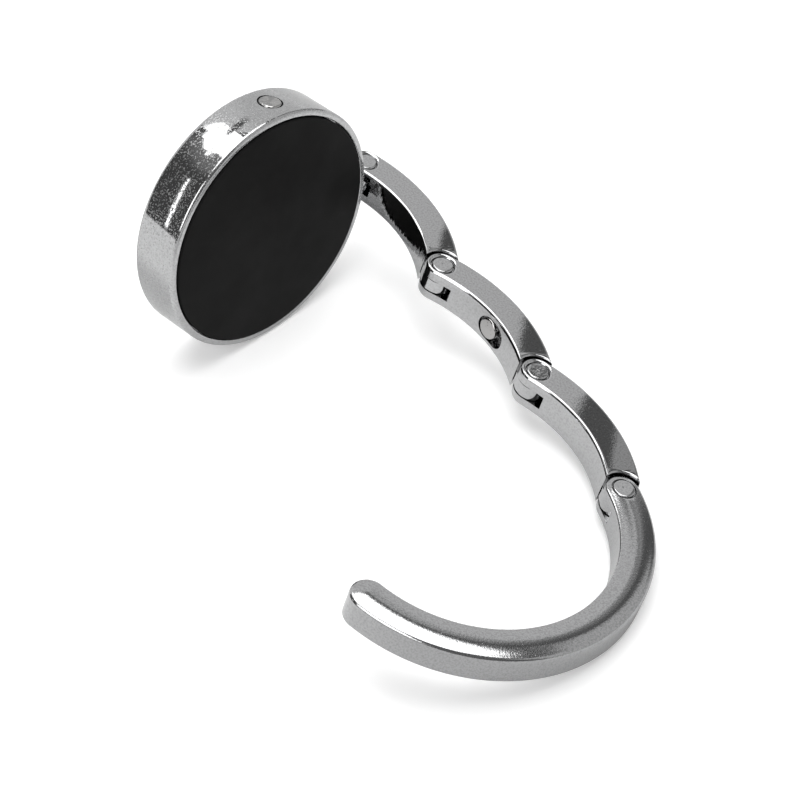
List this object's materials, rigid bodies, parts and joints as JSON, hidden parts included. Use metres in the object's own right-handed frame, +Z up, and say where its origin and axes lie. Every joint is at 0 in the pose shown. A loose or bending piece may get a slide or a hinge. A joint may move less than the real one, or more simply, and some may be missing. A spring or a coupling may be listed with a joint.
{
  "type": "purse hook",
  "caption": "Folding table purse hook: a weighted round disc with a rubber pad, and a swivelling chain of curved links that opens into a hook.",
  "frame": {"origin": "middle of the underside of the part's box, on the surface that the disc's rim and the hook rest on", "axes": "+Z up; -Y out of the rubber pad's face, so the disc stands on its rim; +X to the side of the disc that the chain leaves from"},
  "size_m": [0.06, 0.079, 0.035],
  "materials": {
    "disc_case": "polished chrome plate on a zinc casting",
    "rubber_pad": "matte black rubber",
    "pad_adhesive": "thin adhesive film",
    "pad_carrier": "plain steel",
    "rim_magnet": "nickel-plated magnet",
    "swivel_lug": "polished chrome plate",
    "swivel_washer": "plain steel",
    "link_1": "polished chrome plate",
    "link_2": "polished chrome plate",
    "link_3": "polished chrome plate",
    "hook": "polished chrome plate",
    "hinge_rivet_1": "bright formed rivet",
    "hinge_rivet_2": "bright formed rivet",
    "hinge_rivet_3": "bright formed rivet",
    "hinge_rivet_4": "bright formed rivet",
    "link_magnet": "nickel-plated magnet"
  },
  "bodies": {
    "disc": {"disc_case": "disc_case", "rubber_pad": "rubber_pad", "pad_adhesive": "pad_adhesive", "pad_carrier": "pad_carrier", "rim_magnet": "rim_magnet"},
    "lug": {"swivel_lug": "swivel_lug", "swivel_washer": "swivel_washer"},
    "link_one": {"link_1": "link_1", "hinge_rivet_1": "hinge_rivet_1"},
    "link_two": {"link_2": "link_2", "hinge_rivet_2": "hinge_rivet_2", "link_magnet": "link_magnet"},
    "link_three": {"link_3": "link_3", "hinge_rivet_3": "hinge_rivet_3"},
    "hook": {"hook": "hook", "hinge_rivet_4": "hinge_rivet_4"}
  },
  "joints": [
    {"name": "swivel", "type": "hinge", "parent": "disc", "child": "lug", "pos_m": [0.02328, 0.03587, 0.01468], "axis": [-0.9869, 0, 0.1611], "range_deg": [-78.69, 101.31]},
    {"name": "lug_hinge", "type": "hinge", "parent": "lug", "child": "link_one", "pos_m": [0.02656, 0.03609, 0.01305], "axis": [-0.158, 0.1961, -0.9678], "range_deg": [-103.47, 16.53]},
    {"name": "upper_hinge", "type": "hinge", "parent": "link_one", "child": "link_two", "pos_m": [0.02109, 0.01606, 0.00989], "axis": [-0.158, 0.1961, -0.9678], "range_deg": [-1.11, 65.89]},
    {"name": "middle_hinge", "type": "hinge", "parent": "link_two", "child": "link_three", "pos_m": [0.0177, -0.00435, 0.0063], "axis": [-0.158, 0.1961, -0.9678], "range_deg": [-13.34, 53.66]},
    {"name": "hook_hinge", "type": "hinge", "parent": "link_three", "child": "hook", "pos_m": [0.01207, -0.02434, 0.00317], "axis": [-0.158, 0.1961, -0.9678], "range_deg": [-46.25, 20.75]}
  ]
}
